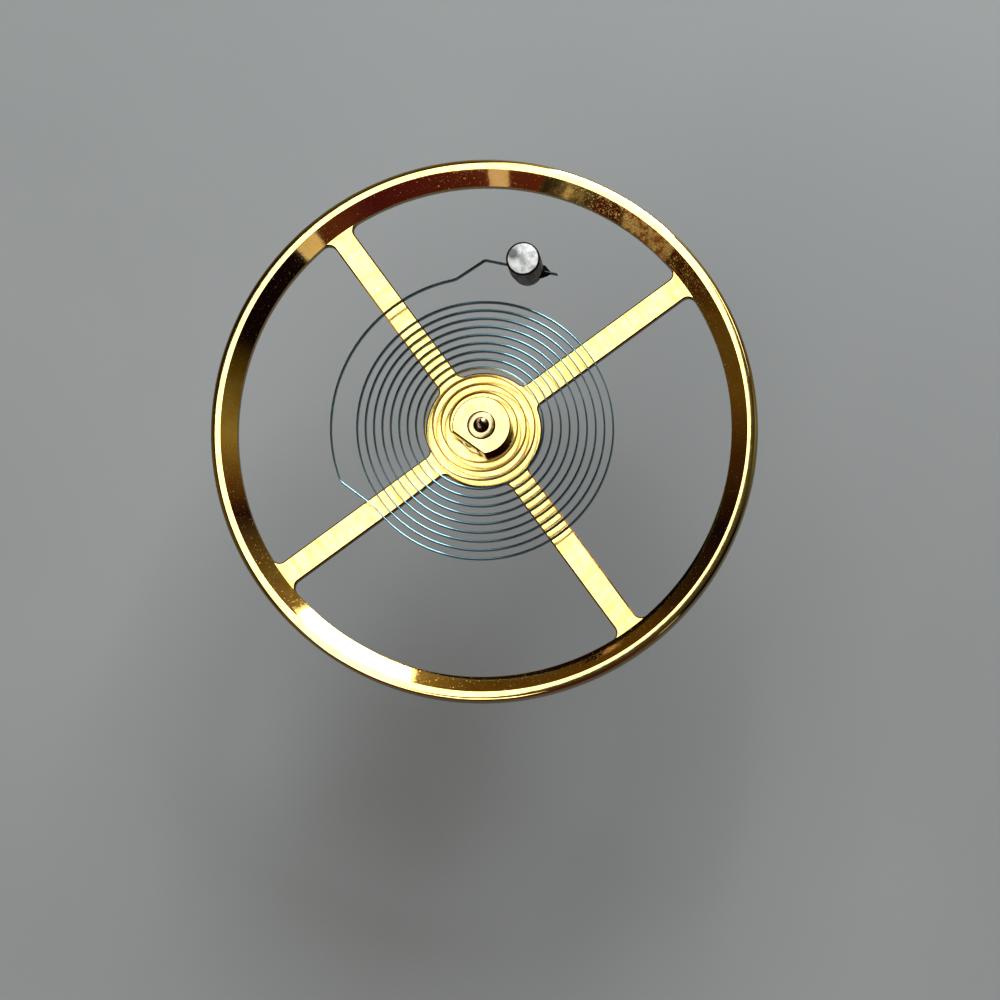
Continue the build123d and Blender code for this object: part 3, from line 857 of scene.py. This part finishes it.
def springRoute(s, c, t):
    # the route from the collet out to the stud, with where it begins and ends
    onFlat = c["flat"] + s["thickness"] / 2
    line = polar(1, s["lineAngle"])
    start = c["radius"] + s["firstRoom"]

    def center(turnIndex):
        # of a half turn, along the line that all their middles lie on
        drift = s["outerDrift"] - s["innerDrift"]
        lean = s["innerDrift"] + drift * turnIndex / s["halfTurns"]
        return lean + (-1 if turnIndex % 2 == 0 else 1) * s["pitch"] / 4

    radii = {-1: start - center(-1), 0: start - center(0)}
    for k in range(s["halfTurns"]):
        radii[k + 1] = radii[k] + abs(center(k + 1) - center(k))
    firstCenter = line * center(-1)
    depth = onFlat - s["innerBend"]
    toBend = flatOut * depth - firstCenter
    chord = radii[-1] - s["innerBend"]
    along = toBend.dot(flatAlong)
    run = -along + math.sqrt(along ** 2 - toBend.length ** 2 + chord ** 2)
    bendEnd = flatOut * depth + flatAlong * run - firstCenter
    bendAngle = angleOf(bendEnd) % 360
    route = [
        (s["innerTail"] + run, 0), (s["innerBend"], bendAngle - c["flatAngle"]),
        (radii[-1], s["lineAngle"] - bendAngle),
    ]
    route += [(radii[k], -180) for k in range(s["halfTurns"])]
    route += [(radii[s["halfTurns"]], -s["lastTurn"]), (s["leaveBend"], s["leaveAngle"])]
    begin = flatOut * onFlat - flatAlong * s["innerTail"]
    heading = c["flatAngle"] - 90
    place, way = follow(route, begin, heading)
    # the last turn leaves outwards, and bends sharply into the end curve
    curve = start + s["pitch"] * s["halfTurns"] / 2 + s["curveGap"]
    elbow = place + polar(1, way - 90) * s["elbowBend"]
    ahead = elbow.dot(polar(1, way))
    leave = -ahead + math.sqrt(ahead ** 2 - elbow.length ** 2 + (curve - s["elbowBend"]) ** 2)
    elbowAngle = angleOf(elbow + polar(1, way) * leave) % 360
    route += [
        (leave, 0), (s["elbowBend"], (elbowAngle - 90 - way) % 360 - 360),
        (curve, s["curveEnd"] - elbowAngle), (s["liftBend"], s["liftAngle"]),
    ]
    place, way = follow(route, begin, heading)
    # from the end curve's lift through the middle of the stud
    studCenter = polar(curve + t["outset"], t["angle"])
    studWay = polar(1, t["boreAngle"])
    lastTurn = (t["boreAngle"] - way) % 360 - 360
    setback = s["lastBend"] * math.tan(math.radians(-lastTurn / 2))
    gap = studCenter - place
    ahead = polar(1, way)
    crossed = ahead.x * studWay.y - ahead.y * studWay.x
    cornerRun = (gap.x * studWay.y - gap.y * studWay.x) / crossed
    toStud = (studCenter - place - ahead * cornerRun).length
    route += [(cornerRun - setback, 0), (s["lastBend"], lastTurn)]
    route.append((toStud - setback + t["radius"] + s["tail"], 0))
    return route, begin, heading, studCenter, studWay


route, routeBegin, routeHeading, studCenter, studWay = springRoute(spring, collet, stud)


def routePoints(s):
    # (point, heading, length so far) along the strip's middle line
    out = []
    place, heading, length = routeBegin, routeHeading, 0.0
    for size, turned in route:
        run = size * math.radians(abs(turned)) if turned else size
        if turned:
            steps = max(s["turnLeast"], math.ceil(abs(turned) / s["turnStep"]))
        else:
            steps = max(s["runLeast"], math.ceil(run / s["runStep"]))
        for k in range(steps):
            share = k / steps
            part = (size, turned * share) if turned else (size * share, 0)
            at, way = follow([part], place, heading) if k else (place, heading)
            out.append((at, way, length + run * share))
        place, heading = follow([(size, turned)], place, heading)
        length += run
    out.append((place, heading, length))
    return out


def buildSpring(s, points):
    half, tall = s["thickness"] / 2, s["height"] / 2
    corners = ((-half, -tall), (half, -tall), (half, tall), (-half, tall))
    section = softened([(x, y, s["edgeRound"]) for x, y in corners], s["roundSteps"])
    bm = bmesh.new()
    rings = []
    for at, way, length in points:
        side = polar(1, way + 90)
        across = [(at.x + side.x * p.x, at.y + side.y * p.x, s["middle"] + p.y) for p in section]
        rings.append([bm.verts.new(place) for place in across])
    for a, b in zip(rings, rings[1:]):
        band(bm, a, b)
    bm.faces.new(rings[0])
    bm.faces.new(list(reversed(rings[-1])))
    return coat(newPiece("hairspring", bm, s["sharp"]), ["bluedAlloy"]), len(section)


springLine = routePoints(spring)
springPiece, sectionCount = buildSpring(spring, springLine)
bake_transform(springPiece)
# each section's share of the balance's turn: 1 along the collet end, which turns with the balance,
# to 0 along the stud end, which stays
fixedIn = route[0][0]
fixedOut = springLine[-1][2] - route[-1][0]
shares = []
for at, way, length in springLine:
    share = 1 - min(1, max(0, (length - fixedIn) / (fixedOut - fixedIn)))
    shares += [share] * sectionCount
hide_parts("hairspring")
stripLength = round(springLine[-1][2], 1)
print("hairspring:", len(springPiece.data.polygons), "faces,", stripLength, "mm long")


def facingOut(x, y, way):
    # a place at the strip's height whose Z points along way
    turned = Vector((way.x, way.y, 0)).to_track_quat("Z", "Y").to_matrix().to_4x4()
    return Matrix.Translation((x, y, spring["middle"])) @ turned


# weld on the collet's flat
weld = {"radius": 0.07, "height": 0.035, "foot": -0.004, "steps": (10, 36), "sharp": 60}


def buildWeld(w):
    across, around = w["steps"]
    foot = flatOut * (collet["flat"] + spring["thickness"])
    bm = bmesh.new()
    profile = drop(w["radius"], w["height"], across, foot=w["foot"])
    turn(bm, profile, around, place=facingOut(foot.x, foot.y, flatOut))
    return coat(newPiece("colletWeld", bm, w["sharp"]), ["weldMetal"])


dress(buildWeld(weld), "balance", "collet_weld")

# stud, turned round its head and drilled across for the strip
borePlace = facingOut(studCenter.x, studCenter.y, studWay)


def buildStud(t):
    e, toe, head = t["edge"], t["toeRound"], t["headRound"]
    outline = softened([
        (t["toe"] - e, t["bottom"], toe), (t["toe"], t["bottom"] + e, toe),
        (t["radius"], t["headFoot"], 0), (t["headRadius"], t["headFoot"], toe),
        (t["headRadius"], t["top"] - e, head), (t["headRadius"] - e, t["top"], head),
        (0, t["top"], 0), (0, t["bottom"], 0),
    ])[:-2]
    bm = bmesh.new()
    turn(bm, [(0, t["bottom"])] + [tuple(p) for p in outline] + [(0, t["top"])], t["steps"])
    bmesh.ops.translate(bm, vec=(studCenter.x, studCenter.y, 0), verts=bm.verts)
    post = newPiece("hairspringStud", bm)
    bore, end = t["bore"], t["boreHalf"]
    bm = bmesh.new()
    turn(bm, [(0, -end), (bore, -end), (bore, end), (0, end)], t["boreSteps"], place=borePlace)
    post = cutBy(post, [newPiece("bore", bm)])

    def part(face):
        if face.normal.z > t["topSlope"]:
            return 1
        return 2 if face.normal.z > t["ringSlope"] else 0

    # the stud's side, its top, and its chamfer ring in painted shade
    return coat(post, ["studSide", "studTop", "studRingPaintedShade"], part)


dress(buildStud(stud), "stud_side", "hairspring_stud")

# cement in the bore, with its pointed bead; outline is (share of radius, share of reach)
bead = {
    "radius": 0.125, "reach": 0.205, "foot": 0.285, "plug": 0.106, "plugStart": 0.02,
    "plugRoom": 0.04,
    "outline": ((0.98, -0.12), (1.0, 0.0), (0.96, 0.14), (0.84, 0.28), (0.67, 0.42), (0.49, 0.56),
                (0.32, 0.70), (0.16, 0.85), (0, 1)),
    "steps": 40, "waves": 14, "waveHeight": 0.014, "sharp": 60,
}


def buildCement(b):
    plug, foot = b["plug"], b["foot"]
    profile = [(0, b["plugStart"]), (plug, b["plugStart"]), (plug, foot - b["plugRoom"])]
    profile += [(b["radius"] * across, foot + b["reach"] * along) for across, along in b["outline"]]
    middle = Vector((studCenter.x, studCenter.y, spring["middle"]))
    way = Vector((studWay.x, studWay.y, 0))
    bm = bmesh.new()
    for v in turn(bm, profile, b["steps"], place=borePlace):
        out = v.co - middle
        along = out.dot(way)
        across = out - way * along
        if along > foot and across.length > tiny:
            push = noise.noise(v.co * b["waves"]) * b["waveHeight"]
            v.co += across.normalized() * push
    return coat(newPiece("studCement", bm, b["sharp"]), ["cement"])


dress(buildCement(bead), "stud_side", "stud_cement")
print("collet, weld, stud and cement done")

# floor, well below the raised balance
floor = {"height": -6.0, "radius": 500.0, "steps": 96}
bm = bmesh.new()
ring = circle(floor["radius"], floor["steps"])
bm.faces.new([bm.verts.new((p.x, p.y, floor["height"])) for p in ring])
floorPiece = coat(newPiece("floor", bm), ["paleFloor"])

# lights
aim = Vector((0, 0, 2.1))  # the wheel's middle


def softLight(name, azimuth, elevation, distance, width, height, colour, radiance):
    # an oblong light that faces the wheel; azimuth runs anticlockwise from +X, seen from above
    a, e = math.radians(azimuth), math.radians(elevation)
    out = Vector((math.cos(a) * math.cos(e), math.sin(a) * math.cos(e), math.sin(e)))
    lamp = bpy.data.lights.new(name, "AREA")
    lamp.shape = "RECTANGLE"
    lamp.size, lamp.size_y = width * mm, height * mm
    lamp.color = colour
    lamp.energy = radiance * math.pi * lamp.size * lamp.size_y
    holder = bpy.data.objects.new(name, lamp)
    holder.location = (out * distance + aim) * mm
    holder.rotation_mode = "QUATERNION"
    holder.rotation_quaternion = (-out).to_track_quat("-Z", "Y")
    holder.visible_camera = False
    scene.collection.objects.link(holder)


def spanOf(degrees, distance):
    return 2 * distance * math.tan(math.radians(degrees / 2))


warmWhite, coolWhite, pinkWhite = (1, 0.97, 0.92), (0.92, 0.97, 1), (1, 0.94, 1)
far = 150.0
lights = [
    # name, azimuth, elevation, distance, width, height, colour, radiance
    ("overhead", 114, 80, 150, 260, 44, warmWhite, 2.8),
    ("key", 35, 51, 100, 28, 52, coolWhite, 18.0),
    ("crownA", 24, 46, 120, 104, 38, warmWhite, 2.2),
    ("crownB", 213, 47, 120, 84, 38, warmWhite, 3.2),
    ("window", 31.8, 17.0, far, spanOf(24, far), spanOf(11, far), warmWhite, 20.0),
    ("windowFrame", 31.8, 17.0, far, spanOf(26, far), spanOf(11, far), warmWhite, 2.0),
    ("middleLeft", 184, 26, far, spanOf(13, far), spanOf(10, far), warmWhite, 0.22),
    ("glintA", 225, 31, far, spanOf(4.5, far), spanOf(12, far), pinkWhite, 0.5),
    ("glintB", 280, 31, far, spanOf(5.5, far), spanOf(12, far), warmWhite, 0.6),
]
for entry in lights:
    softLight(*entry)
print("lights:", len(lights))

# surroundings: a dim warm room in reflections, a plain pale backdrop to the eye
walls = [  # azimuth, from -180 to 180 degrees, and colour
    (-180, (0.05, 0.035, 0.03)), (-165, (0.05, 0.035, 0.03)), (-158, (0.09, 0.022, 0.015)),
    (-100, (0.055, 0.008, 0.02)), (-88, (0.09, 0.03, 0.02)), (-76, (0.004, 0.002, 0.005)),
    (-50, (0.004, 0.002, 0.005)), (-42, (0.06, 0.05, 0.015)), (-26, (0.21, 0.19, 0.09)),
    (-16, (0.10, 0.06, 0.03)), (-7, (0.012, 0.004, 0.008)), (14, (0.17, 0.14, 0.08)),
    (48, (0.20, 0.15, 0.06)), (56, (0.09, 0.06, 0.02)), (90, (0.075, 0.045, 0.01)),
    (98, (0.026, 0.014, 0.008)), (114, (0.006, 0.003, 0.006)), (130, (0.04, 0.02, 0.01)),
    (142, (0.09, 0.06, 0.02)), (160, (0.08, 0.055, 0.02)), (170, (0.05, 0.03, 0.015)),
]
# from straight down, at 0, to straight up, at 1
wallLevel = [(0.42, black), (0.49, white), (0.80, white), (0.86, grey(0.1))]
ceiling = [(0.0, black), (0.82, black), (0.90, (0.02, 0.018, 0.014)), (1.0, (0.04, 0.036, 0.03))]
backdrop = (0.33, 0.35, 0.35, 1)

world = bpy.data.worlds.new("studio")
world.use_nodes = True
scene.world = world
room = Nodes(world.node_tree)
toward = room.node("ShaderNodeTexCoord").outputs["Generated"]
part = room.node("ShaderNodeSeparateXYZ", {"Vector": toward}).outputs
azimuth = room.calc("ARCTAN2", part["Y"], part["X"])
around = room.span(azimuth, 0.0, 1.0, -math.pi, math.pi)
up = room.span(part["Z"], 0.0, 1.0, -1.0, 1.0)
wallColour = room.ramp(around, [((at + 180) / 360, colour) for at, colour in walls])
lit = room.times(wallColour, room.ramp(up, wallLevel))
total = room.mix(lit, room.ramp(up, ceiling), blend="ADD")
toEye = room.node("ShaderNodeLightPath").outputs["Is Camera Ray"]
room.join(room.mix(total, backdrop, toEye), room.tree.nodes["Background"].inputs["Color"])
scene.view_settings.view_transform = "Standard"
print("surroundings done")

# camera: a long lens nearly straight above, leaning a little from the lower right
view = {
    "place": (-2.462348, -14.435, 90.870398), "turn": (7.571923, 3.990681, -36.0),
    "lens": 177.39, "sensor": 36, "near": 0.005, "far": 5,  # near and far in metres
}
lens = bpy.data.cameras.new("photo")
lens.lens, lens.sensor_width = view["lens"], view["sensor"]
lens.clip_start, lens.clip_end = view["near"], view["far"]
photo = bpy.data.objects.new("photo", lens)
photo.location = Vector(view["place"]) * mm
photo.rotation_euler = [math.radians(v) for v in view["turn"]]
scene.collection.objects.link(photo)
scene.camera = photo

bpy.context.view_layer.update()
